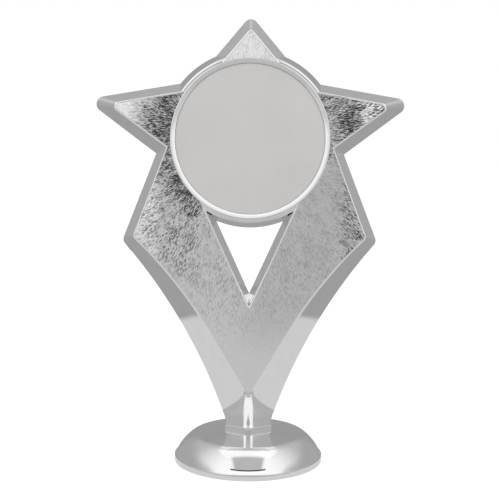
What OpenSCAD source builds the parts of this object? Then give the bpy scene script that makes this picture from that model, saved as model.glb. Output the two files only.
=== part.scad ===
// Star trophy figure: two clamped half shells that hold a round insert, on a round domed foot.
// Millimetres, +Z up, the front faces -Y, and the origin is the centre of the foot's underside.

/* [Star outline at the parting plane] */
// Height of the sharp point of the top ray
ray_top_z = 154.8; // [150:0.2:160]
// Half width of the valley between the top ray and an arm, hidden by the ring
valley_x = 19; // [17:0.5:21]
// Height of that valley
valley_z = 132.4; // [131:0.2:134]
// Half span of the arms, to their sharp points
arm_x = 56.8; // [52:0.2:62]
// Height of the arm points
arm_z = 126; // [124:0.5:128]
// Half width of the waist below the arms
waist_x = 32.4; // [31:0.2:34]
// Height of the waist
waist_z = 107.7; // [106:0.2:109]
// Half width of the shoulders
shoulder_x = 44.3; // [42:0.2:48]
// Height of the shoulders
shoulder_z = 77.5; // [75:0.5:80]
// Radius of the hollow curve from a shoulder down to the stem
leg_curve_r = 190; // [150:5:260]

/* [Front face outline] */
// Depth of each half shell, from the parting plane to its face
shell_depth = 7; // [6.6:0.1:8]
// Height of the sharp point of the top ray on the face
face_top_z = 149.6; // [148:0.2:151]
// Half width of the valley on the face
face_valley_x = 17; // [15:0.5:18]
// Height of the valley on the face
face_valley_z = 129.6; // [128:0.2:131]
// Half span of the arms on the face
face_arm_x = 48.2; // [46:0.2:50]
// Height of the arm points on the face
face_arm_z = 124.3; // [123:0.2:126]
// Half width of the waist on the face
face_waist_x = 28.4; // [27:0.2:29.5]
// Height of the waist on the face
face_waist_z = 109.9; // [108:0.2:111]
// Half width of the shoulders on the face
face_shoulder_x = 40; // [38:0.2:41.5]
// Height of the shoulders on the face
face_shoulder_z = 79.5; // [78:0.2:81]
// Radius of the curved stretch below the shoulders
face_curve_r = 158; // [120:2:220]
// Half width where the curve turns into a straight edge
face_bend_x = 14; // [12:0.5:16]
// Height where the curve turns into a straight edge
face_bend_z = 47.3; // [45:0.5:50]
// Height of the pointed lower end of the face
face_tip_z = 25.5; // [24:0.5:28]

/* [V opening] */
// Height of the opening's lower point at the parting plane
opening_z = 59.1; // [58:0.1:62]
// Height of the opening's lower point on the face
face_opening_z = 55.2; // [54:0.1:57]
// Half width gained per unit of height by the sides of the opening
opening_slope = 0.455; // [0.42:0.005:0.5]

/* [Insert ring] */
// Height of the centre of the ring
ring_z = 112.7; // [111:0.1:114]
// Diameter of the round insert
insert_d = 50.8; // [50:0.1:51]
// Radial gap around the insert
insert_gap = 0.1; // [0.05:0.05:0.2]
// Radius of the ring's wall at the parting plane
ring_root_r = 30.5; // [30:0.1:31]
// Radius of the ring's wall at the level of the face
ring_shelf_r = 28.4; // [28:0.1:29]
// Height of the ring's crest above the face
crest_h = 1; // [0.6:0.1:1.4]
// Thickness of the insert
insert_t = 0.6; // [0.4:0.1:0.8]
// Thickness of the adhesive pad under the insert
pad_t = 0.5; // [0.3:0.1:0.7]

/* [Stem and foot] */
// Half width of the stem where it meets the foot
stem_x = 8; // [7.6:0.1:8.6]
// Depth of the stem's front ridge from the parting plane, just above the collar
stem_y = 3.9; // [3.8:0.1:4.4]
// Height of the seat that the stem stands on
seat_z = 10.4; // [10:0.1:11]
// Height of the collar round the base of the stem
collar_h = 1.5; // [1:0.1:2]
// Diameter of the foot
foot_d = 52; // [50:0.5:56]
// Height of the vertical lip round the foot
lip_h = 2.1; // [1.6:0.1:2.6]

/* [Fastening] */
// Width across the flats of the nut
nut_af = 8; // [7.9:0.05:8]
// Height of the nut
nut_h = 4; // [3.8:0.1:4.2]
// Height of the nut's lower face above the base
nut_z = 27; // [26.5:0.5:29]
// Diameter of the nut's thread core
thread_core_d = 4.2; // [4.1:0.05:4.3]
// Diameter of the clearance channel for the rod
channel_d = 5.4; // [5.3:0.1:5.6]
// Outer diameter of the tenon under the stem
tenon_d = 7.4; // [7.2:0.1:7.4]

/* [Hidden] */
$fn = 96;
eps = 0.01;
over = 1;

wall = 2;
cavity_depth = 3.9;
rear_boss_h = 0.5;
cavity_floor_z = 40;
ridge_x = 1;
ray_round = 2.5;
arm_round = 2.65;
shoulder_round = 2.5;
face_round = 1.6;
corner_steps = 5;
curve_steps = 8;
ridge_steps = 8;
opening_top_z = 96;
pin_r = 1.5;
pin_reach = 3.4;
pin_gap = 0.05;
boss_r = 3.2;
pin_spots = [[38, 121], [-38, 121], [21, 70], [-21, 70]];

insert_r = insert_d / 2;
recess_r = insert_r + insert_gap;
crest_y = shell_depth + crest_h;
crest_in_r = recess_r + 1.2;
bead_r = crest_in_r + 0.4;
shelf_y = shell_depth - 0.05;
floor_y = shell_depth - insert_t - pad_t;
land_y = crest_y - 0.5;

tenon_r = tenon_d / 2;
tenon_end_z = 5.5;
foot_wall = 2;
foot_r = foot_d / 2;
washer_t = 0.6;
socket_r = tenon_r + 0.1;
nut_gap = 0.1;

silver = [0.80, 0.80, 0.81];
pale_silver = [0.77, 0.77, 0.77];
foam_white = [0.93, 0.93, 0.91];
steel = [0.60, 0.60, 0.62];

// ---- plane geometry -------------------------------------------------------------------------

function unit(v) = v / norm(v);
function turn(v) = [v.y, -v.x];
function blend(a, b, t) = a + (b - a) * t;
function mirrored(points) = [for (i = [len(points) - 1:-1:0]) [-points[i].x, points[i].y]];
function reflected(points) = [for (i = [len(points) - 1:-1:0]) [-points[i].x, points[i].y, points[i].z]];

// Centre of the circle of radius r through p and q, on the side that turn(q - p) points away from.
function arc_centre(p, q, r) =
    (p + q) / 2 - unit(turn(q - p)) * sqrt(r * r - (norm(q - p) / 2) ^ 2);

// Half width at height z on the hollow curve of radius r that joins p to q.
function arc_x(p, q, r, z) =
    let (c = arc_centre(p, q, r))
    c.x - sqrt(r * r - (z - c.y) ^ 2);

// The corner at b, between a and c, rounded to radius r with `steps` chords.
function rounded(a, b, c, r, steps) =
    let (u = unit(a - b), v = unit(c - b))
    let (half = acos(u * v) / 2)
    let (centre = b + unit(u + v) * r / sin(half))
    let (from = b + u * r / tan(half) - centre, to = b + v * r / tan(half) - centre)
    let (span = 180 - 2 * half, side = sign(from.x * to.y - from.y * to.x))
    [for (i = [0:steps])
        let (w = side * span * i / steps)
        centre + [from.x * cos(w) - from.y * sin(w), from.x * sin(w) + from.y * cos(w)]];

// Corner b of a clockwise outline, moved inward by d from both of its edges.
function inset_corner(a, b, c, d) =
    let (n = unit(turn(b - a)), m = unit(turn(c - b)))
    b + (n + m) * d / (1 + n * m);

// ---- outlines, as [half width, height] points down the right side ----------------------------

back_top = [0, ray_top_z];
back_valley = [valley_x, valley_z];
back_arm = [arm_x, arm_z];
back_waist = [waist_x, waist_z];
back_shoulder = [shoulder_x, shoulder_z];
back_stem = [stem_x, seat_z + 3.5];

face_top = [0, face_top_z];
face_valley = [face_valley_x, face_valley_z];
face_arm = [face_arm_x, face_arm_z];
face_waist = [face_waist_x, face_waist_z];
face_shoulder = [face_shoulder_x, face_shoulder_z];
face_bend = [face_bend_x, face_bend_z];
face_tip = [ridge_x, face_tip_z];

leg_top_z = shoulder_z - 4;
leg_heights = [for (i = [0:curve_steps]) blend(leg_top_z, face_tip_z, i / curve_steps)];
ridge_heights = [for (i = [1:ridge_steps]) blend(face_tip_z, seat_z, i / ridge_steps)];
stem_heights = concat(leg_heights, ridge_heights);

function back_x(z) =
    z < back_stem.y ? stem_x : arc_x(back_shoulder, back_stem, leg_curve_r, z);

function face_x(z) =
    z < face_tip_z ? ridge_x :
    z < face_bend_z ? blend(face_tip.x, face_bend.x, (z - face_tip.y) / (face_bend.y - face_tip.y)) :
    arc_x(face_shoulder, face_bend, face_curve_r, z);

// The side walls keep their slant below the tip of the face and meet in a ridge that leans back.
// wall_x is where a wall would cross the plane of the face: it starts with the slope of the face's
// edge and bends so that the ridge is stem_y deep at the collar.
tip_slope = (face_bend_x - ridge_x) / (face_bend_z - face_tip_z);
ridge_drop = face_tip_z - seat_z - collar_h;
wall_end_x = stem_x - shell_depth * (stem_x - ridge_x) / stem_y;
wall_bend = (wall_end_x - ridge_x + tip_slope * ridge_drop) / ridge_drop ^ 2;
function wall_x(z) =
    let (drop = face_tip_z - z)
    ridge_x - tip_slope * drop + wall_bend * drop ^ 2;

function face_y(z) =
    z < face_tip_z ? shell_depth * (back_x(z) - ridge_x) / (back_x(z) - wall_x(z)) : shell_depth;

// Rounded head of the star: half of the top ray, the valley, arm, waist and shoulder.
function head(top, valley, arm, waist, shoulder, leg, rounds) = concat(
    [for (i = [ceil(corner_steps / 2):corner_steps])
        rounded([-valley.x, valley.y], top, valley, rounds[0], corner_steps)[i]],
    [valley],
    rounded(valley, arm, waist, rounds[1], corner_steps),
    [waist],
    rounded(waist, shoulder, leg, rounds[2], corner_steps));

back_head = head(back_top, back_valley, back_arm, back_waist, back_shoulder,
    [back_x(leg_top_z), leg_top_z], [ray_round, arm_round, shoulder_round]);
face_head = head(face_top, face_valley, face_arm, face_waist, face_shoulder,
    [face_x(leg_top_z), leg_top_z], [face_round, face_round, face_round]);

// ---- solids of the shells, drawn with the face towards -Y ------------------------------------

// Flat strips that close a ring of n points; the ring is symmetric about the plane x = 0.
function strips(n) = n % 2 == 1 ?
    [[0, 1, n - 1], for (i = [1:1:(n - 3) / 2]) [i, i + 1, n - 1 - i, n - i]] :
    [for (i = [0:n / 2 - 2]) [i, i + 1, n - 2 - i, n - 1 - i]];

function flipped(face, shift) = [for (i = [len(face) - 1:-1:0]) face[i] + shift];

// A solid between two symmetric rings of equal length, the first one nearer the viewer.
module loft(face_ring, back_ring) {
    n = len(face_ring);
    sides = [for (i = [0:n - 1])
        let (j = (i + 1) % n)
        each [[i, n + i, j], [j, n + i, n + j]]];
    polyhedron(
        concat(face_ring, back_ring),
        concat(strips(n), [for (strip = strips(n)) flipped(strip, n)], sides));
}

function ring_at(outline, y) = [for (p = outline) [p.x, -y, p.y]];

// The star and its stem, with the pointed face and the ridge below it. It runs `over` past the
// parting plane, where face_half() trims it.
module star_body() {
    right_face = concat(
        [for (p = face_head) [p.x, -shell_depth, p.y]],
        [for (z = stem_heights) [face_x(z), -face_y(z), z]]);
    outline = concat(back_head, [for (z = stem_heights) [back_x(z), z]]);
    n = len(outline);
    right_back = [for (i = [0:n - 1])
        let (f = right_face[i], b = [outline[i].x, 0, outline[i].y])
        let (past = b + (b - f) * over / -f.y)
        [past.x, over, past.z]];
    loft(concat(right_face, reflected(right_face)), concat(right_back, reflected(right_back)));
}

// The V opening, grown by `grow` on its slanted sides.
module opening_body(grow = 0) {
    lift = grow / sin(atan(opening_slope));
    function triangle(z) =
        let (low = z - lift, half = (opening_top_z - low) * opening_slope)
        [[0, low], [-half, opening_top_z], [half, opening_top_z]];
    past = crest_y + 1;
    drop = (opening_z - face_opening_z) / shell_depth;
    loft(ring_at(triangle(opening_z - drop * past), past),
        ring_at(triangle(opening_z + drop * 4 * over), -4 * over));
}

// The hollow inside a shell, one wall thickness inside the star, from the parting plane.
module hollow_body() {
    function corners(t) =
        let (right = [blend(back_valley, face_valley, t), blend(back_arm, face_arm, t),
            blend(back_waist, face_waist, t), blend(back_shoulder, face_shoulder, t),
            for (z = [66, 57, 48, cavity_floor_z - wall]) [blend(back_x(z), face_x(z), t), z]])
        let (all = concat([blend(back_top, face_top, t)], right, mirrored(right)))
        let (n = len(all))
        [for (i = [0:n - 1]) inset_corner(all[(i + n - 1) % n], all[i], all[(i + 1) % n], wall)];
    difference() {
        loft(ring_at(corners(cavity_depth / shell_depth), cavity_depth),
            ring_at(corners(-3 * over / shell_depth), -3 * over));
        opening_body(wall);
        for (spot = pin_spots) upright_rod(spot, boss_r, -4 * over, shell_depth);
    }
}

// A cylinder along Y at [x, z], between two depths in front of the parting plane.
module upright_rod(spot, r, y0, y1) {
    translate([spot.x, -y0, spot.y]) rotate([90, 0, 0]) cylinder(h = y1 - y0, r = r);
}

// Turns a profile of [radius, depth] points about the ring's axis.
module about_ring_axis(profile) {
    translate([0, 0, ring_z]) rotate([90, 0, 0]) rotate_extrude() polygon(profile);
}

// Keeps what is on the face side of the parting plane.
module face_half() {
    size = 2 * ray_top_z;
    intersection() {
        children();
        translate([-size / 2, -size, -1]) cube(size);
    }
}

// Profile of a ring's boss: drafted wall, shelf level with the face, and a bead up to `top`.
function beaded(top) = [[0, -2 * over], [ring_root_r, -2 * over], [ring_root_r, 0], [ring_shelf_r, shelf_y],
    [bead_r + 0.1, shelf_y], [bead_r, top - 0.3], [bead_r - 0.3, top], [0, top]];

module collar_and_tenon() {
    step = 0.2;
    side = stem_x + step;
    front = stem_y + step;
    translate([0, 0, seat_z]) linear_extrude(collar_h)
        polygon([[side, 0], [ridge_x, -front], [-ridge_x, -front],
            [-side, 0], [-ridge_x, front], [ridge_x, front]]);
    translate([0, 0, tenon_end_z]) cylinder(h = seat_z - tenon_end_z + 1, r = tenon_r);
}

// The rod's channel and the hexagonal pocket for the nut.
module fastening_space() {
    translate([0, 0, tenon_end_z - 1]) cylinder(h = cavity_floor_z - tenon_end_z + 2, d = channel_d);
    translate([0, 0, nut_z - nut_gap])
        cylinder(h = nut_h + 2 * nut_gap, d = (nut_af + 2 * nut_gap) / cos(30), $fn = 6);
}

// What both shells share; `ring_profile` is the solid round boss that carries the insert.
module shell_blank(ring_profile) {
    face_half() difference() {
        union() {
            difference() {
                star_body();
                opening_body();
            }
            about_ring_axis(ring_profile);
            collar_and_tenon();
        }
        hollow_body();
        fastening_space();
    }
}

// ---- the pieces ------------------------------------------------------------------------------

module front_shell() {
    color(silver) difference() {
        shell_blank(beaded(crest_y));
        about_ring_axis([[0, floor_y], [recess_r, floor_y], [recess_r, land_y],
            [crest_in_r, crest_y], [crest_in_r, crest_y + 1], [0, crest_y + 1]]);
        for (spot = pin_spots) upright_rod(spot, pin_r + pin_gap, -1, pin_reach + 0.3);
    }
}

module rear_shell() {
    color(silver) rotate([0, 0, 180]) union() {
        shell_blank(beaded(shell_depth + rear_boss_h));
        for (spot = pin_spots) upright_rod(spot, pin_r, -pin_reach, shell_depth - wall);
    }
}

module insert_disc() {
    color(pale_silver)
        about_ring_axis([[0, floor_y + pad_t], [insert_r, floor_y + pad_t],
            [insert_r, shell_depth - 0.15], [insert_r - 0.15, shell_depth], [0, shell_depth]]);
}

module adhesive_pad() {
    pad_r = insert_r - 1.5;
    color(foam_white)
        about_ring_axis([[0, floor_y], [pad_r, floor_y], [pad_r, floor_y + pad_t], [0, floor_y + pad_t]]);
}

module foot() {
    shoulder_r = foot_r - 5.6;
    crown_r = foot_r - 6.8;
    seat_r = stem_x + 1;
    shoulder_top = seat_z - 1.2;
    flank_bow = 0.55;
    inner_top = seat_z - foot_wall;
    // The flank bows outward between the lip and the shoulder.
    flank = [for (i = [0:6])
        let (t = i / 6, bow = flank_bow * 4 * t * (1 - t))
        [blend(foot_r - 0.4, shoulder_r, t) + 0.79 * bow, blend(lip_h, shoulder_top - 0.5, t) + 0.61 * bow]];
    color(silver) difference() {
        union() {
            rotate_extrude() polygon(concat(
                [[foot_r - foot_wall, 0], [foot_r, 0], [foot_r, lip_h]], flank,
                [[crown_r, shoulder_top + 0.2], [14, seat_z - 0.5], [seat_r, seat_z], [0, seat_z],
                [0, inner_top], [seat_r, inner_top], [crown_r - 2, inner_top - 1.2],
                [shoulder_r - 1, inner_top - 2.2],
                [foot_r - foot_wall - 0.4, lip_h]]));
            for (a = [30:60:330]) rotate([0, 0, a])
                translate([seat_r + 0.5, -0.6, 5.4]) cube([shoulder_r - seat_r - 2, 1.2, 3.2]);
        }
        translate([0, 0, -1]) cylinder(h = seat_z + 2, r = socket_r);
    }
}

module captive_nut() {
    chamfer = 0.5;
    corner_r = nut_af / 2 / cos(30);
    color(steel) translate([0, 0, nut_z]) difference() {
        intersection() {
            cylinder(h = nut_h, r = corner_r, $fn = 6);
            rotate_extrude() polygon([[0, 0], [corner_r - chamfer, 0], [corner_r + eps, chamfer],
                [corner_r + eps, nut_h - chamfer], [corner_r - chamfer, nut_h], [0, nut_h]]);
        }
        translate([0, 0, -1]) cylinder(h = nut_h + 2, d = thread_core_d);
    }
}

module retaining_washer() {
    washer_r = tenon_r + 3.4;
    grip_r = tenon_r + 0.02;
    color(steel) translate([0, 0, seat_z - foot_wall - washer_t]) difference() {
        rotate_extrude() polygon([[grip_r, 0], [washer_r, 0], [washer_r, washer_t], [grip_r, washer_t]]);
        for (a = [0:60:300]) rotate([0, 0, a])
            translate([tenon_r - 1, -0.4, -1]) cube([2.4, 0.8, washer_t + 2]);
    }
}

front_shell();
rear_shell();
insert_disc();
adhesive_pad();
foot();
captive_nut();
retaining_washer();
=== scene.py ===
"""Star trophy figure: the finished look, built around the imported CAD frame.

Blender works in metres. The outlines below are in millimetres and are scaled once, when a mesh is made.
"""

import math

import bmesh
import bpy
from mathutils import Matrix, Vector


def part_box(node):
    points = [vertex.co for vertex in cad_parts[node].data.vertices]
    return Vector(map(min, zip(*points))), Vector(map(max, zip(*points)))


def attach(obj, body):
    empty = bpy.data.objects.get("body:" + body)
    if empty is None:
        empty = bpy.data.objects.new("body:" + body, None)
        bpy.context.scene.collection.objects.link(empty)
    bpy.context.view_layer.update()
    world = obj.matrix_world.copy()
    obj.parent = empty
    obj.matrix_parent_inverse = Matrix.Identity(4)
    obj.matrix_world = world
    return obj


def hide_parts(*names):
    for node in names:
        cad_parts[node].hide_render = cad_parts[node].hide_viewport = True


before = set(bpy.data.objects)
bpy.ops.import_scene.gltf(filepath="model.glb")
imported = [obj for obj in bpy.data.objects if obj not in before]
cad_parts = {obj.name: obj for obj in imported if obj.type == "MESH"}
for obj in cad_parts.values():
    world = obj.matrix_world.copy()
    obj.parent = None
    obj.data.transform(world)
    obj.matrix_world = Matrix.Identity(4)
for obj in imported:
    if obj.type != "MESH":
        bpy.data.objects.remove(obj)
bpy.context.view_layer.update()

MM = 0.001

# ---- sizes taken from the frame, in millimetres ----------------------------------------------

insert_low, insert_high = (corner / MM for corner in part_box("insert_disc"))
foot_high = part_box("foot")[1] / MM
front_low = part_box("front_shell")[0] / MM
rear_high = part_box("rear_shell")[1] / MM

INSERT_R = (insert_high.x - insert_low.x) / 2
RING_Z = (insert_high.z + insert_low.z) / 2
SHELL_DEPTH = -insert_low.y
CREST_Y = -front_low.y
REAR_BOSS_Y = rear_high.y
FOOT_R = foot_high.x
SEAT_Z = foot_high.z
TENON_END_Z = front_low.z

# ---- design sizes, in millimetres ------------------------------------------------------------

# The star's outlines, as (half width, height) of each corner down the right side. "rounds" has the
# radius of the top, the arm and the shoulder.
BACK = {"top": (0, 154.8), "valley": (19, 132.4), "arm": (56.8, 126), "waist": (32.4, 107.7),
        "shoulder": (44.3, 77.5), "rounds": (2.5, 2.65, 2.5)}
FACE = {"top": (0, 149.6), "valley": (17, 129.6), "arm": (48.2, 124.3), "waist": (28.4, 109.9),
        "shoulder": (40, 79.5), "rounds": (1.6, 1.6, 1.6)}
EDGE_SOFTNESS = 0.5

# legs and stem
LEG_TOP_Z = 73.5
LEG_CURVE_R = 190
STEM_X = 8
STEM_Z = 13.9
STEM_Y = 3.9
FACE_CURVE_R = 158
FACE_BEND = (14, 47.3)
FACE_TIP = (1, 25.5)
COLLAR_H = 1.5
COLLAR_PROUD = 0.2
COLLAR_SOFTNESS = 0.3

# tenon, rod channel and nut
TENON_R = 3.7
CHANNEL_R = 2.7
CHANNEL_ABOVE_NUT = 4
NUT_AF = 8
NUT_Z = (27, 31)
NUT_GAP = 0.1

# V opening
OPENING_Z = 59.1
OPENING_FACE_Z = 55.2
OPENING_SLOPE = 0.455
OPENING_TOP_Z = 96
OPENING_ROUND = 0.12

# ring: drafted boss, shelf, bead, and the recess with its flared mouth
ROOT_R = 30.5
SHELF_R = 28.3
SHELF_DROP = 0.05
SHELF_SOFTNESS = 0.75
BEAD_R = 27.1
BEAD_DRAFT = 0.1
BEAD_FOOT_SOFTNESS = 0.05
BEAD_SOFTNESS = 0.3
MOUTH_R = 26.7
MOUTH_RISE = 0.38
RECESS_DEPTH = 2.1
INSERT_GAP = 0.03
INSERT_T = 0.6
INSERT_SOFTNESS = (0.05, 0.08)

# foot
LIP_H = 2.1
LIP_STEP = 0.4
LIP_SOFTNESS = (0.15, 0.2)
FLANK_IN = 5.6
FLANK_DROP = 1.7
FLANK_BOW = 0.55
DOME_SOFTNESS = (0.5, 2.5, 1.0)
FOOT_WALL = 2
SOCKET_GAP = 0.1
RIBS = 6
RIB_R = (9.5, 18.9)
RIB_Z = (5.4, 8.6)
RIB_T = 1.2

# how far cutters and joined pieces run past the surface they end at
OVER = 1

# mesh resolution
CORNER_STEPS = 8
LEG_STEPS = 48
RIDGE_STEPS = 10
EDGE_STEPS = 4
FLANK_STEPS = 12
ROUND_STEPS = 192

# camera, in metres and degrees
CAMERA_PLACE = (0.0002, -0.350, 0.11045)
CAMERA_PITCH = 5.89
CAMERA_ROLL = 0.4
CAMERA_LENS = 72.62
SENSOR_WIDTH = 36

# studio, in millimetres
FLOOR_HALF_SIZE = 6000
SHEET_R = 36.3
SHEET_NEAR_R = 30
SHEET_Z = 0.02


# ---- plane geometry --------------------------------------------------------------------------

def blend(a, b, t):
    return a + (b - a) * t


def smooth_step(x, low, high):
    t = min(1, max(0, (x - low) / (high - low)))
    return t * t * (3 - 2 * t)


def inward(a, b):
    """Unit normal of the edge from a to b of a clockwise outline, towards its inside."""
    d = (b - a).normalized()
    return Vector((d.y, -d.x))


def arc_x(p, q, r, z):
    """Half width at height z on the hollow curve of radius r that joins p to q."""
    half = (q - p).length / 2
    centre = (p + q) / 2 - inward(p, q) * math.sqrt(r * r - half * half)
    return centre.x - math.sqrt(r * r - (z - centre.y) ** 2)


def rounded(a, b, c, r, steps):
    """The corner at b, between a and c, as an arc of radius r."""
    u, v = (a - b).normalized(), (c - b).normalized()
    half = u.angle(v) / 2
    centre = b + (u + v).normalized() * r / math.sin(half)
    start, end = b + u * r / math.tan(half) - centre, b + v * r / math.tan(half) - centre
    turn = math.copysign(math.pi - 2 * half, start.x * end.y - start.y * end.x)
    return [centre + Matrix.Rotation(turn * i / steps, 2) @ start for i in range(steps + 1)]


def softened(start, corner, end, steps=4):
    """A curve from start to end that leaves and arrives in the direction of corner."""
    return [start * (1 - t) ** 2 + corner * 2 * t * (1 - t) + end * t ** 2
            for t in (i / steps for i in range(steps + 1))]


def inset_corner(a, b, c, d):
    """The corner b, between a and c, of the outline that lies d further in."""
    n, m = inward(a, b), inward(b, c)
    return b + (n + m) * d / (1 + n.dot(m))


def mirrored(point):
    return Vector((-point.x, *point[1:]))


# ---- outlines --------------------------------------------------------------------------------

def back_x(z):
    """Half width of the legs and the stem at the parting plane."""
    shoulder, stem = Vector(BACK["shoulder"]), Vector((STEM_X, STEM_Z))
    return STEM_X if z < STEM_Z else arc_x(shoulder, stem, LEG_CURVE_R, z)


def face_x(z):
    """Half width of the front below the shoulder: a hollow curve, a straight taper, then the ridge."""
    tip, bend = Vector(FACE_TIP), Vector(FACE_BEND)
    if z < tip.y:
        return tip.x
    if z < bend.y:
        return blend(tip.x, bend.x, (z - tip.y) / (bend.y - tip.y))
    return arc_x(Vector(FACE["shoulder"]), bend, FACE_CURVE_R, z)


def face_y(z):
    """Depth of the front. Below the face's tip the side walls keep their slant and meet in a ridge
    that leans back, until it is STEM_Y deep at the collar."""
    if z >= FACE_TIP[1]:
        return SHELL_DEPTH
    (tip_x, tip_z), (bend_x, bend_z) = FACE_TIP, FACE_BEND
    slope = (bend_x - tip_x) / (bend_z - tip_z)
    full_drop = tip_z - SEAT_Z - COLLAR_H
    end_x = STEM_X - SHELL_DEPTH * (STEM_X - tip_x) / STEM_Y
    bend = (end_x - tip_x + slope * full_drop) / full_drop ** 2
    drop = tip_z - z
    wall_x = tip_x - slope * drop + bend * drop ** 2
    return SHELL_DEPTH * (back_x(z) - tip_x) / (back_x(z) - wall_x)


def edge_width(z):
    """Width of the rounding along the front's edge. Down the legs it grows until it takes the whole ridge."""
    if z >= FACE["shoulder"][1]:
        return EDGE_SOFTNESS
    return blend(FACE_TIP[0], EDGE_SOFTNESS, smooth_step(z, FACE_TIP[1], FACE_BEND[1]))


def head(shape, half_width):
    """Right half of the star from the middle of the top ray to the end of the shoulder."""
    corners = ("top", "valley", "arm", "waist", "shoulder")
    top, valley, arm, waist, shoulder = (Vector(shape[name]) for name in corners)
    leg = Vector((half_width(LEG_TOP_Z), LEG_TOP_Z))
    top_r, arm_r, shoulder_r = shape["rounds"]
    return [
        *rounded(mirrored(valley), top, valley, top_r, CORNER_STEPS)[CORNER_STEPS // 2:],
        valley,
        *rounded(valley, arm, waist, arm_r, CORNER_STEPS),
        waist,
        *rounded(waist, shoulder, leg, shoulder_r, CORNER_STEPS),
    ]


def right_half(shape, half_width):
    """Right half of the whole outline, from the top ray down to the seat on the foot."""
    heights = [
        *(blend(LEG_TOP_Z, FACE_TIP[1], i / LEG_STEPS) for i in range(LEG_STEPS + 1)),
        *(blend(FACE_TIP[1], SEAT_Z, i / RIDGE_STEPS) for i in range(1, RIDGE_STEPS + 1)),
    ]
    return head(shape, half_width) + [Vector((half_width(z), z)) for z in heights]


# ---- mesh helpers ----------------------------------------------------------------------------

def new_object(name, bm):
    """A closed mesh object, in metres, from a bmesh in millimetres."""
    bmesh.ops.remove_doubles(bm, verts=bm.verts, dist=1e-4)
    bmesh.ops.recalc_face_normals(bm, faces=bm.faces)
    bm.transform(Matrix.Scale(MM, 4))
    mesh = bpy.data.meshes.new(name)
    bm.to_mesh(mesh)
    bm.free()
    obj = bpy.data.objects.new(name, mesh)
    bpy.context.scene.collection.objects.link(obj)
    return obj


def loft(bm, rings, joined=False):
    """Skins rings of equal length. The first and the last get a flat face, or are joined to each other."""
    loops = [[bm.verts.new(p) for p in ring] for ring in rings]
    for low, high in zip(loops, loops[1:] + loops[:1] if joined else loops[1:]):
        for i in range(len(low)):
            j = (i + 1) % len(low)
            bm.faces.new((low[i], low[j], high[j], high[i]))
    if not joined:
        bm.faces.new(loops[0])
        bm.faces.new(loops[-1])


def circle(r, sides=ROUND_STEPS):
    return [(r * math.cos(math.tau * i / sides), r * math.sin(math.tau * i / sides)) for i in range(sides)]


def lathe(name, profile, joined=False):
    """Turns a (radius, height) profile about +Z."""
    bm = bmesh.new()
    loft(bm, [[Vector((x, y, h)) for x, y in circle(r)] for r, h in profile], joined)
    return new_object(name, bm)


def lathe_on_ring(name, profile):
    """Turns a (radius, distance in front of the parting plane) profile about the ring's axis."""
    bm = bmesh.new()
    loft(bm, [[Vector((x, -depth, RING_Z + z)) for x, z in circle(r)] for r, depth in profile])
    return new_object(name, bm)


def rod(name, r, z0, z1, sides=ROUND_STEPS):
    """A round or many-sided bar about +Z."""
    bm = bmesh.new()
    loft(bm, [[Vector((x, y, z)) for x, y in circle(r, sides)] for z in (z0, z1)])
    return new_object(name, bm)


def soften(profile, sizes):
    """Rounds the inner corners of an open polyline; sizes has a width for each of them."""
    points = [Vector(p) for p in profile]
    result = [points[0]]
    for a, b, c, size in zip(points, points[1:], points[2:], sizes):
        result += softened(b + (a - b).normalized() * size, b, b + (c - b).normalized() * size)
    return [*result, points[-1]]


def bake_modifiers(obj):
    mesh = bpy.data.meshes.new_from_object(obj.evaluated_get(bpy.context.evaluated_depsgraph_get()))
    obj.modifiers.clear()
    obj.data = mesh


def combine(base, tool, operation):
    """Joins, cuts or intersects base with tool, which is used up."""
    modifier = base.modifiers.new(operation, "BOOLEAN")
    modifier.operation = operation
    modifier.solver = "EXACT"
    modifier.object = tool
    bake_modifiers(base)
    bpy.data.objects.remove(tool)
    return base


def finish_surface(obj, crease_degrees=24):
    """Smooth shading with crisp creases, and flat faces that stay flat in reflections."""
    bm = bmesh.new()
    bm.from_mesh(obj.data)
    bmesh.ops.remove_doubles(bm, verts=bm.verts, dist=2e-6)
    limit = math.radians(crease_degrees)
    for face in bm.faces:
        face.smooth = True
    for edge in bm.edges:
        edge.smooth = len(edge.link_faces) == 2 and edge.calc_face_angle(0) < limit
    bm.to_mesh(obj.data)
    bm.free()
    weighted = obj.modifiers.new("flat_normals", "WEIGHTED_NORMAL")
    weighted.keep_sharp = True
    weighted.mode = "FACE_AREA"


# ---- solids of the shells, in millimetres, with the face towards -Y ---------------------------

def star_columns():
    """Down the right half of the star: the points from behind the parting plane, up the drafted wall
    and round the edge of the front."""
    back, face = right_half(BACK, back_x), right_half(FACE, face_x)
    before = [mirrored(face[1]), *face[:-1]]
    after = [*face[1:], face[-1] - Vector((0, 1))]
    columns = []
    for b, a, f, c in zip(back, before, face, after):
        depth, width = face_y(f.y), edge_width(f.y)
        inner = inset_corner(a, f, c, width)
        root = Vector((b.x, 0, b.y))
        corner = Vector((f.x, -depth, f.y))
        start = corner + (root - corner).normalized() * width
        end = Vector((inner.x, -depth, inner.y))
        columns.append([root + (root - corner) * OVER / depth, *softened(start, corner, end, EDGE_STEPS)])
    return columns


def star_body():
    """The star, its legs and its stem. It runs past the parting plane, where it is cut later."""
    columns = star_columns()
    bm = bmesh.new()
    right = [[bm.verts.new(p) for p in column] for column in columns]
    left = [[bm.verts.new(mirrored(p)) for p in column] for column in columns]
    loop = right + left[::-1]
    for one, two in zip(loop, loop[1:] + loop[:1]):
        if one is right[-1]:
            continue
        for i in range(len(one) - 1):
            bm.faces.new((one[i], one[i + 1], two[i + 1], two[i]))
    above_ridge = len(right) - RIDGE_STEPS
    bm.faces.new([c[-1] for c in right[:above_ridge]] + [c[-1] for c in left[:above_ridge][::-1]])
    bm.faces.new([c[0] for c in loop])
    bm.faces.new(right[-1] + left[-1][::-1])
    return new_object("star_body", bm)


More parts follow.
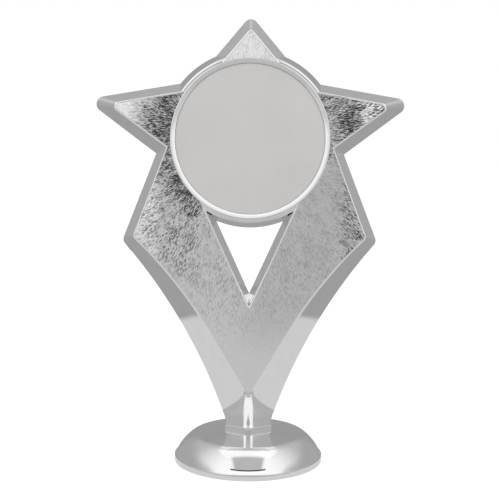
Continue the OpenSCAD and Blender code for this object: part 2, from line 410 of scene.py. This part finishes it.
def opening_body():
    """The V opening, flared where it meets the face so that its front edge is rounded."""
    drop = (OPENING_Z - OPENING_FACE_Z) / SHELL_DEPTH
    half_angle = math.atan(OPENING_SLOPE)
    behind = 4 * OVER
    short_of_face = 0.01

    def outline(depth, grow):
        low = OPENING_Z - drop * depth - grow / math.sin(half_angle)
        half = (OPENING_TOP_Z - low) * OPENING_SLOPE
        right, left = Vector((half, OPENING_TOP_Z)), Vector((-half, OPENING_TOP_Z))
        corner = rounded(left, Vector((0, low)), right, OPENING_ROUND + grow, CORNER_STEPS)
        return [Vector((p.x, -depth, p.y)) for p in [left, *corner, right]]

    rings = [outline(-behind, 0)]
    for i in range(EDGE_STEPS + 1):
        t = i / EDGE_STEPS
        depth = SHELL_DEPTH - short_of_face - EDGE_SOFTNESS * (1 - t) ** 2
        rings.append(outline(depth, EDGE_SOFTNESS * t * t))
    rings.append(outline(CREST_Y + OVER, EDGE_SOFTNESS))
    bm = bmesh.new()
    loft(bm, rings)
    return new_object("opening_body", bm)


def collar():
    """The low collar at the foot of the stem, with a softened upper edge."""
    soft = COLLAR_SOFTNESS
    top = SEAT_Z + COLLAR_H

    def outline(z, shrink):
        side, front, flat = STEM_X + COLLAR_PROUD - shrink, STEM_Y + COLLAR_PROUD - shrink, FACE_TIP[0]
        return [Vector((x, y, z)) for x, y in
                ((side, 0), (flat, front), (-flat, front), (-side, 0), (-flat, -front), (flat, -front))]

    bm = bmesh.new()
    loft(bm, [outline(SEAT_Z, 0), outline(top - soft, 0), outline(top - 0.3 * soft, 0.3 * soft),
              outline(top, soft)])
    return new_object("collar", bm)


def half_space():
    """Everything in front of the parting plane."""
    size, below = 200, 5
    bm = bmesh.new()
    bmesh.ops.create_cube(bm, size=size, matrix=Matrix.Translation((0, -size / 2, size / 2 - below)))
    return new_object("half_space", bm)


def ring_boss(top_y):
    """Drafted boss, a shelf just below the face, and a low bead with its top at top_y."""
    shelf_y = SHELL_DEPTH - SHELF_DROP
    outer = soften([(ROOT_R, 0), (SHELF_R, shelf_y), (BEAD_R + BEAD_DRAFT, shelf_y), (BEAD_R, top_y),
                    (0, top_y)], (SHELF_SOFTNESS, BEAD_FOOT_SOFTNESS, BEAD_SOFTNESS))
    behind = -2 * OVER
    return lathe_on_ring("ring_boss", [(0, behind), (ROOT_R, behind), *outer])


def recess():
    """The round seat of the insert, with a mouth that flares out through the ring's crest."""
    floor_y = CREST_Y - RECESS_DEPTH
    land_r = INSERT_R + INSERT_GAP
    land_y = CREST_Y - MOUTH_RISE
    flare = (MOUTH_R - land_r) / MOUTH_RISE
    high_y = CREST_Y + OVER / 2
    return lathe_on_ring("recess", [(0, floor_y), (land_r, floor_y), (land_r, land_y),
                                    (land_r + flare * (high_y - land_y), high_y), (0, high_y)])


def shell(name, boss):
    """One half shell. Of the CAD shell's hollows it has the two that show: the rod's channel and the
    nut's pocket."""
    body = combine(star_body(), opening_body(), "DIFFERENCE")
    combine(body, boss, "UNION")
    combine(body, collar(), "UNION")
    combine(body, rod("tenon", TENON_R, TENON_END_Z, SEAT_Z + OVER), "UNION")
    combine(body, rod("channel", CHANNEL_R, TENON_END_Z - OVER, NUT_Z[1] + CHANNEL_ABOVE_NUT), "DIFFERENCE")
    pocket_r = (NUT_AF / 2 + NUT_GAP) / math.cos(math.radians(30))
    combine(body, rod("pocket", pocket_r, NUT_Z[0] - NUT_GAP, NUT_Z[1] + NUT_GAP, 6), "DIFFERENCE")
    combine(body, half_space(), "INTERSECT")
    body.name = name
    return body


def mark_etched_faces(body):
    """Gives the flat star face, outside the ring, the second material slot."""
    ring = Vector((0, 0, RING_Z))
    inside_bead = BEAD_R - 0.5
    for polygon in body.data.polygons:
        centre = polygon.center / MM
        flat = abs(polygon.normal.y) > 0.9999 and abs(abs(centre.y) - SHELL_DEPTH) < 0.01
        corners = (body.data.vertices[i].co / MM for i in polygon.vertices)
        nearest = min((Vector((corner.x, 0, corner.z)) - ring).length for corner in corners)
        polygon.material_index = int(flat and nearest > inside_bead)


# ---- node graphs -----------------------------------------------------------------------------

class Graph:
    """Small helper that adds nodes to a tree and links or sets their inputs."""

    def __init__(self, owner):
        owner.use_nodes = True
        self.tree = owner.node_tree
        self.tree.nodes.clear()

    def add(self, kind, settings=None, **inputs):
        """Adds a node. An input is named with _ for each space in its name."""
        node = self.tree.nodes.new(kind)
        for key, value in (settings or {}).items():
            setattr(node, key, value)
        for key, value in inputs.items():
            self.feed(node.inputs[key.replace("_", " ")], value)
        return node

    def feed(self, socket, value):
        if isinstance(value, bpy.types.NodeSocket):
            self.tree.links.new(value, socket)
        else:
            socket.default_value = value

    def numbered(self, kind, operation, values):
        """Adds a node whose inputs are told apart by their order only."""
        node = self.add(kind, {"operation": operation})
        for socket, value in zip(node.inputs, values):
            self.feed(socket, value)
        return node

    def math(self, operation, a, b=0.0):
        return self.numbered("ShaderNodeMath", operation, (a, b)).outputs[0]

    def plus(self, a, b):
        return self.math("ADD", a, b)

    def minus(self, a, b):
        return self.math("SUBTRACT", a, b)

    def times(self, first, *others):
        for other in others:
            first = self.math("MULTIPLY", first, other)
        return first

    def step(self, value, low, high, start=0.0, end=1.0):
        """start at low and end at high, with a smooth change between them; low may be the greater."""
        node = self.add("ShaderNodeMapRange", {"interpolation_type": "SMOOTHSTEP"}, Value=value,
                        From_Min=low, From_Max=high, To_Min=start, To_Max=end)
        return node.outputs["Result"]

    def mix(self, a, b, *factors):
        """a where any factor is 0, b where all are 1."""
        return self.plus(a, self.times(self.minus(b, a), self.times(*factors)))

    def split(self, vector):
        return self.add("ShaderNodeSeparateXYZ", Vector=vector).outputs

    def join(self, x, y, z):
        return self.add("ShaderNodeCombineXYZ", X=x, Y=y, Z=z).outputs[0]

    def vector(self, operation, *values):
        return self.numbered("ShaderNodeVectorMath", operation, values).outputs["Vector"]

    def unit(self, vector):
        return self.vector("NORMALIZE", vector)

    def length(self, vector):
        return self.numbered("ShaderNodeVectorMath", "LENGTH", (vector,)).outputs["Value"]

    def noise(self, vector, scale, detail=2.0, roughness=0.5):
        node = self.add("ShaderNodeTexNoise", Vector=vector, Scale=scale, Detail=detail, Roughness=roughness)
        return node.outputs[0]

    def bump(self, height, distance, strength=1.0, **normal):
        node = self.add("ShaderNodeBump", Height=height, Distance=distance, Strength=strength, **normal)
        return node.outputs[0]

    def position(self):
        return self.add("ShaderNodeTexCoord").outputs["Object"]

    def emission(self, strength):
        return self.add("ShaderNodeEmission", Color=(1, 1, 1, 1), Strength=strength).outputs[0]

    def finish(self, shader, kind="ShaderNodeOutputMaterial"):
        self.add(kind, Surface=shader)

    def principled(self, **inputs):
        self.finish(self.add("ShaderNodeBsdfPrincipled", **inputs).outputs[0])


def new_material(name):
    material = bpy.data.materials.new(name)
    return material, Graph(material)


# ---- materials -------------------------------------------------------------------------------

def polished_silver():
    """Vacuum-metallised plastic: bright, with the faint waviness of a moulding and fine handling haze."""
    material, graph = new_material("polished_silver")
    position = graph.position()
    haze = graph.noise(position, 260.0, 3.0, 0.6)
    waves = graph.noise(position, 70.0, 1.0, 0.4)
    graph.principled(
        Base_Color=graph.step(haze, 0.2, 0.8, 0.90, 0.95),
        Metallic=1.0,
        Roughness=graph.step(haze, 0.3, 0.8, 0.02, 0.05),
        Normal=graph.bump(waves, 0.00003, 0.5))
    return material


class StarFace:
    """Where a point lies on the star's face, measured from the centre of the ring, and the regions."""

    def __init__(self, graph):
        self.graph = graph
        self.x, _, z = graph.split(graph.position())
        self.up = graph.minus(z, RING_Z * MM)
        from_ring = graph.join(self.x, 0.0, self.up)
        self.radius = graph.length(from_ring)
        self.out_x, _, self.out_z = graph.split(graph.unit(from_ring))
        self.arms = self.between(self.up, -12, -2)
        self.top_ray = self.between(self.up, 20, 25)
        self.left = self.between(self.x, -12, -22)
        self.right = self.between(self.x, 12, 22)
        self.left_shoulder = graph.times(self.left, self.between(self.up, -2, -12))
        self.stem = self.between(self.radius, 50, 80)

    def between(self, value, low, high, start=0.0, end=1.0):
        """start where value is low millimetres, end where it is high, and a smooth change between them."""
        return self.graph.step(value, low * MM, high * MM, start, end)

    def streaks(self, around, along, detail):
        """Noise with cells `around` and `along` millimetres in size, measured 40 mm from the centre."""
        graph, turns = self.graph, 40.0 / around
        outwards = graph.times(self.radius, 1 / (along * MM))
        vector = graph.join(graph.times(self.out_x, turns), outwards, graph.times(self.out_z, turns))
        return graph.noise(vector, 1.0, detail, 0.65)

    def scratch_and_painted_shade_density(self):
        """How thickly the dark scratches lie. The amount is set region by region, so it is also painted shade
        and painted light for what the face reflects: painted shade near the ring and across the right arm,
        painted light at the top ray. They thin out away from the ring and towards the stem.
        """
        graph, radius = self.graph, self.radius
        # painted shade and light: each mix below sets how dark one region of the face is painted
        scratch_and_shade_density = graph.mix(0.42, 0.0, self.stem)
        by_radius = self.between(radius, 27, 36, 1.0, 0.55)
        scratch_and_shade_density = graph.mix(scratch_and_shade_density, by_radius, self.left_shoulder, self.between(radius, 56, 46))
        by_radius = self.between(radius, 30, 48, 0.92, 0.10)
        scratch_and_shade_density = graph.mix(scratch_and_shade_density, by_radius, self.left, self.arms)
        band = graph.times(self.between(radius, 28, 33), self.between(radius, 42, 36))
        scratch_and_shade_density = graph.mix(scratch_and_shade_density, graph.mix(0.66, 0.9, band), self.right, self.arms)
        right_corner = (self.between(self.x, 27, 35), self.between(self.up, -8, -18))
        scratch_and_shade_density = graph.mix(scratch_and_shade_density, 0.62, *right_corner)
        return graph.mix(scratch_and_shade_density, 0.05, self.top_ray)

    def grain_lean(self):
        """How far the bright grain leans outwards, to the light, near the star's tips."""
        lean = self.graph.mix(0.0, 0.30, self.arms, self.between(self.radius, 34, 44))
        lean = self.graph.mix(lean, 0.28, self.left_shoulder, self.between(self.x, -27, -36))
        return self.graph.mix(lean, 0.19, self.top_ray)

    def leaned_normal(self, lean):
        graph = self.graph
        outward = graph.unit(graph.join(self.x, 0.0, graph.math("MAXIMUM", self.up, 0.0)))
        normal = graph.add("ShaderNodeNewGeometry").outputs["Normal"]
        return graph.unit(graph.vector("MULTIPLY_ADD", outward, graph.join(lean, lean, lean), normal))


def etched_silver():
    """The star's face: short scratches that run out from the ring, and fade towards the stem. How thickly
    they lie in each region, and the darker right leg, are painted shade and painted light that stand for what
    the face reflects.
    """
    material, graph = new_material("etched_silver")
    face = StarFace(graph)
    fine = face.streaks(0.22, 1.4, 3.0)
    coarse = face.streaks(3.0, 6.0, 2.0)
    scratch_and_shade_density = face.scratch_and_painted_shade_density()

    level = graph.plus(fine, graph.times(graph.minus(coarse, 0.5), 0.3))
    over = graph.minus(level, graph.plus(graph.times(scratch_and_shade_density, 0.17), 0.37))
    # painted shade: where the scratches lie thickest, they go nearly black
    harsh_scratch_and_shade = graph.step(scratch_and_shade_density, 0.40, 0.65)
    bare = graph.step(graph.times(over, graph.mix(0.7, 2.4, harsh_scratch_and_shade)), -0.08, 0.10)
    scratch_and_shade_tone = graph.mix(graph.mix(0.52, 0.86, face.stem), 0.08, harsh_scratch_and_shade)
    # painted shade: the bare metal is painted darker down the right leg
    right_leg_painted_shade = (face.between(face.x, -10, 8), face.between(face.up, -2, -14),
                 face.between(face.radius, 78, 62))
    bare_tone_with_painted_shade = graph.mix(0.93, 0.80, *right_leg_painted_shade)

    height = graph.times(fine, face.between(face.radius, 50, 78, 1.0, 0.08))
    graph.principled(
        Base_Color=graph.mix(scratch_and_shade_tone, bare_tone_with_painted_shade, bare),
        Metallic=1.0,
        Roughness=graph.step(fine, 0.3, 0.7, 0.30, 0.20),
        Normal=graph.bump(height, 0.00010, 0.6, Normal=face.leaned_normal(face.grain_lean())))
    return material


def satin_insert():
    """The blank insert: satin metallised card with a very fine grain."""
    material, graph = new_material("satin_insert")
    position = graph.position()
    grain = graph.noise(position, 2600.0, 2.0, 0.6)
    cloud = graph.noise(position, 45.0, 1.0, 0.5)
    tone = graph.times(graph.step(grain, 0.3, 0.7, 0.97, 1.0), graph.step(cloud, 0.3, 0.7, 0.96, 1.0))
    warm_grey = (0.965, 0.95, 0.93)
    graph.principled(
        Base_Color=graph.join(*(graph.times(tone, level) for level in warm_grey)),
        Metallic=1.0,
        Roughness=graph.step(grain, 0.3, 0.7, 0.46, 0.52),
        Normal=graph.bump(grain, 0.00001, 0.4))
    return material


def foam():
    """The insert's adhesive pad: pale foam with fine open cells."""
    material, graph = new_material("foam")
    cells = graph.add("ShaderNodeTexVoronoi", Vector=graph.position(), Scale=3500.0).outputs["Distance"]
    graph.principled(
        Base_Color=graph.step(cells, 0.0, 0.8, 0.72, 0.88),
        Roughness=0.95,
        Normal=graph.bump(cells, 0.00008, 0.8))
    return material


def zinc_steel():
    """Plated steel of the nut and the washer, with turned grooves about +Z and a mottled plating."""
    material, graph = new_material("zinc_steel")
    position = graph.position()
    mottle = graph.noise(position, 900.0, 3.0, 0.6)
    x, y, _ = graph.split(position)
    radius = graph.math("SQRT", graph.plus(graph.times(x, x), graph.times(y, y)))
    grooves = graph.math("SINE", graph.times(radius, 30000.0))
    graph.principled(
        Base_Color=graph.step(mottle, 0.3, 0.7, 0.50, 0.66),
        Metallic=1.0,
        Roughness=graph.step(mottle, 0.3, 0.7, 0.26, 0.40),
        Normal=graph.bump(grooves, 0.000006, 0.5))
    return material


# ---- camera, floor and light -----------------------------------------------------------------

def make_camera():
    """A long lens in front of the figure, at the height of the ring, tipped down a little."""
    camera = bpy.data.objects.new("camera", bpy.data.cameras.new("camera"))
    bpy.context.scene.collection.objects.link(camera)
    camera.data.lens = CAMERA_LENS
    camera.data.sensor_width = SENSOR_WIDTH
    camera.data.clip_start = 0.01
    pitch, roll = math.radians(CAMERA_PITCH), math.radians(CAMERA_ROLL)
    turn = Matrix.Rotation(math.pi / 2 - pitch, 4, "X") @ Matrix.Rotation(roll, 4, "Z")
    camera.matrix_world = Matrix.Translation(CAMERA_PLACE) @ turn
    bpy.context.scene.camera = camera


def make_floor():
    """A plain, almost white floor that shows only a faint shadow."""
    bm = bmesh.new()
    bmesh.ops.create_grid(bm, x_segments=1, y_segments=1, size=FLOOR_HALF_SIZE)
    floor = new_object("floor", bm)
    material, graph = new_material("pale_floor")
    paper = graph.add("ShaderNodeBsdfDiffuse", Color=(0.9, 0.9, 0.9, 1)).outputs[0]
    mixed = graph.add("ShaderNodeMixShader", Fac=0.85)
    graph.feed(mixed.inputs[1], paper)
    graph.feed(mixed.inputs[2], graph.emission(1.12))
    graph.finish(mixed.outputs[0])
    floor.data.materials.append(material)
    floor.visible_glossy = False
    floor.visible_diffuse = False


def make_sheet():
    """A glowing disc in place of the table close to the foot: painted light near the rim, then painted shade
    further out. It shows in reflections only.
    """
    bm = bmesh.new()
    bmesh.ops.create_circle(bm, cap_ends=True, segments=96, radius=SHEET_R,
                            matrix=Matrix.Translation((0, 0, SHEET_Z)))
    sheet = new_object("sheet", bm)
    material, graph = new_material("painted_light_and_shade_sheet")
    near = SHEET_NEAR_R * MM
    radius = graph.length(graph.position())
    # painted light out to SHEET_NEAR_R from the centre, painted shade beyond it, both as glow
    graph.finish(graph.emission(graph.step(radius, near, near + MM, 0.65, 0.45)))
    sheet.data.materials.append(material)
    sheet.visible_camera = False
    sheet.visible_diffuse = False
    sheet.visible_shadow = False


def light_above(graph, front, side, z):
    """A grey room behind the object, and a white tent over and in front of it with grey wings."""
    room = graph.plus(graph.step(z, 0.35, 0.65, 0.34, 0.43), graph.step(side, 0.3, 0.6, 0.0, 0.06))
    wings = graph.step(side, 0.70, 0.84, 1.05, 0.50)
    tent = graph.mix(wings, 1.05, graph.step(z, 0.30, 0.60))
    canopy = graph.plus(graph.plus(front, graph.times(z, 0.6)), graph.step(z, 0.85, 0.93, 0.0, 0.8))
    return graph.mix(room, tent, graph.step(canopy, -0.2, 1.1))


def light_below(graph, front, side):
    """Under the horizon: a dim room behind the object, and a lighter one in front, brighter to the sides."""
    return graph.mix(0.36, graph.step(side, 0.30, 0.42, 0.50, 0.64), graph.step(front, -0.085, -0.065))


def with_camera_gap(graph, light, front, z):
    """The grey gap in the tent that the camera looks through."""
    return graph.mix(light, graph.step(z, 0.05, 0.25, 0.56, 0.44), graph.step(front, 0.87, 0.92))


def with_card(graph, light, front, side, z):
    """A grey card above the camera, with a dark line along its lower edge."""
    card = (graph.step(side, 0.28, 0.38, 1.0, 0.0), graph.step(front, 0.20, 0.36),
            graph.step(z, 0.635, 0.645))
    edge = (graph.step(side, 0.40, 0.42, 1.0, 0.0), graph.step(front, 0.5, 0.6),
            graph.step(z, 0.59, 0.595), graph.step(z, 0.635, 0.64, 1.0, 0.0))
    return graph.mix(graph.mix(light, 0.50, *card), 0.06, *edge)


def make_world():
    """The studio that the polished metal mirrors, by direction. The camera itself sees plain white."""
    world = bpy.data.worlds.new("studio")
    bpy.context.scene.world = world
    graph = Graph(world)
    x, y, z = graph.split(graph.add("ShaderNodeTexCoord").outputs["Generated"])
    front = graph.times(y, -1.0)
    side = graph.math("ABSOLUTE", x)

    above, below = light_above(graph, front, side, z), light_below(graph, front, side)
    light = graph.mix(below, above, graph.step(z, -0.15, -0.02))
    light = with_camera_gap(graph, light, front, z)
    light = with_card(graph, light, front, side, z)

    seen = graph.add("ShaderNodeLightPath").outputs["Is Camera Ray"]
    background = graph.add("ShaderNodeBackground", Color=graph.mix(light, 1.0, seen), Strength=1.0)
    graph.finish(background.outputs[0], "ShaderNodeOutputWorld")


def make_light(name, place, size, power):
    """A soft lamp aimed at the ring. It doesn't show in reflections, which come from the world."""
    lamp = bpy.data.objects.new(name, bpy.data.lights.new(name, "AREA"))
    bpy.context.scene.collection.objects.link(lamp)
    lamp.data.energy = power
    lamp.data.size = size
    lamp.location = place
    lamp.rotation_euler = (Vector((0, 0, RING_Z * MM)) - lamp.location).to_track_quat("-Z", "Y").to_euler()
    lamp.visible_glossy = False


# ---- the pieces ------------------------------------------------------------------------------

def place(piece, node, slot, materials):
    """Names a finished piece, gives it its materials, and lets it stand for its CAD node."""
    piece.name = node + "_finish"
    for material in materials:
        piece.data.materials.append(material)
    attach(piece, "root")
    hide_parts(node)


def finish_shell(body, node, materials):
    finish_surface(body)
    place(body, node, "silver_plastic", materials)
    mark_etched_faces(body)


def front_shell(materials):
    body = combine(shell("front", ring_boss(CREST_Y)), recess(), "DIFFERENCE")
    finish_shell(body, "front_shell", materials)


def rear_shell(materials):
    body = shell("rear", ring_boss(REAR_BOSS_Y))
    body.data.transform(Matrix.Rotation(math.pi, 4, "Z"))
    finish_shell(body, "rear_shell", materials)


def insert_disc(material):
    back_y = SHELL_DEPTH - INSERT_T
    profile = soften([(0, back_y), (INSERT_R, back_y), (INSERT_R, SHELL_DEPTH), (0, SHELL_DEPTH)],
                     INSERT_SOFTNESS)
    disc = lathe_on_ring("disc", profile)
    finish_surface(disc)
    place(disc, "insert_disc", "insert_silver", [material])


def rib(angle):
    """One rib under the foot, as a bar that runs outwards at this angle."""
    (r0, r1), (z0, z1) = RIB_R, RIB_Z
    size = Matrix.Diagonal((r1 - r0, RIB_T, z1 - z0, 1))
    middle = Matrix.Translation(((r0 + r1) / 2, 0, (z0 + z1) / 2))
    bm = bmesh.new()
    bmesh.ops.create_cube(bm, size=1, matrix=Matrix.Rotation(angle, 4, "Z") @ middle @ size)
    return new_object("rib", bm)


def foot_flank():
    """The flank's (radius, height) points from the lip up to the crease, bowed outwards."""
    out_r, out_z = 0.79, 0.61
    points = []
    for i in range(FLANK_STEPS + 1):
        t = i / FLANK_STEPS
        bow = FLANK_BOW * 4 * t * (1 - t)
        points.append((blend(FOOT_R - LIP_STEP, FOOT_R - FLANK_IN, t) + out_r * bow,
                       blend(LIP_H, SEAT_Z - FLANK_DROP, t) + out_z * bow))
    return points


def foot(material):
    """Round foot: lip, bowed flank, crease, gentle dome and flat seat, hollow below with six ribs."""
    lip = soften([(FOOT_R - 0.3, 0), (FOOT_R, 0), (FOOT_R, LIP_H), (FOOT_R - LIP_STEP, LIP_H)], LIP_SOFTNESS)
    *flank, crease = foot_flank()
    dome = soften([crease, (FOOT_R - 6.8, SEAT_Z - 1.0), (14, SEAT_Z - 0.5), (9, SEAT_Z), (1, SEAT_Z)],
                  DOME_SOFTNESS)
    inside = [(1, SEAT_Z - FOOT_WALL), (9, SEAT_Z - FOOT_WALL), (FOOT_R - 8.8, SEAT_Z - 3.2),
              (FOOT_R - 6.6, SEAT_Z - 4.2), (FOOT_R - 2.4, LIP_H)]
    body = lathe("foot", [(FOOT_R - FOOT_WALL, 0), *lip, *flank, *dome, *inside], joined=True)
    for i in range(RIBS):
        combine(body, rib(math.tau * (i + 0.5) / RIBS), "UNION")
    combine(body, rod("socket", TENON_R + SOCKET_GAP, 0, SEAT_Z + OVER), "DIFFERENCE")
    finish_surface(body, 28)
    place(body, "foot", "silver_plastic", [material])


def finish_cad_nodes(materials):
    """The hidden fittings keep their CAD shape and get a material."""
    for node, material in materials.items():
        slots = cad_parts[node].data.materials
        slots.clear()
        slots.append(material)


bpy.context.scene.view_settings.view_transform = "Standard"
make_camera()
make_world()
make_floor()
make_sheet()
make_light("key", (-0.5, -0.8, 0.9), 0.8, 10)
make_light("fill", (0.7, -0.5, 0.6), 0.8, 6)

silver, etched = polished_silver(), etched_silver()
front_shell([silver, etched])
rear_shell([silver, etched])
insert_disc(satin_insert())
foot(silver)
finish_cad_nodes({"adhesive_pad": foam(), "captive_nut": zinc_steel(), "retaining_washer": zinc_steel()})
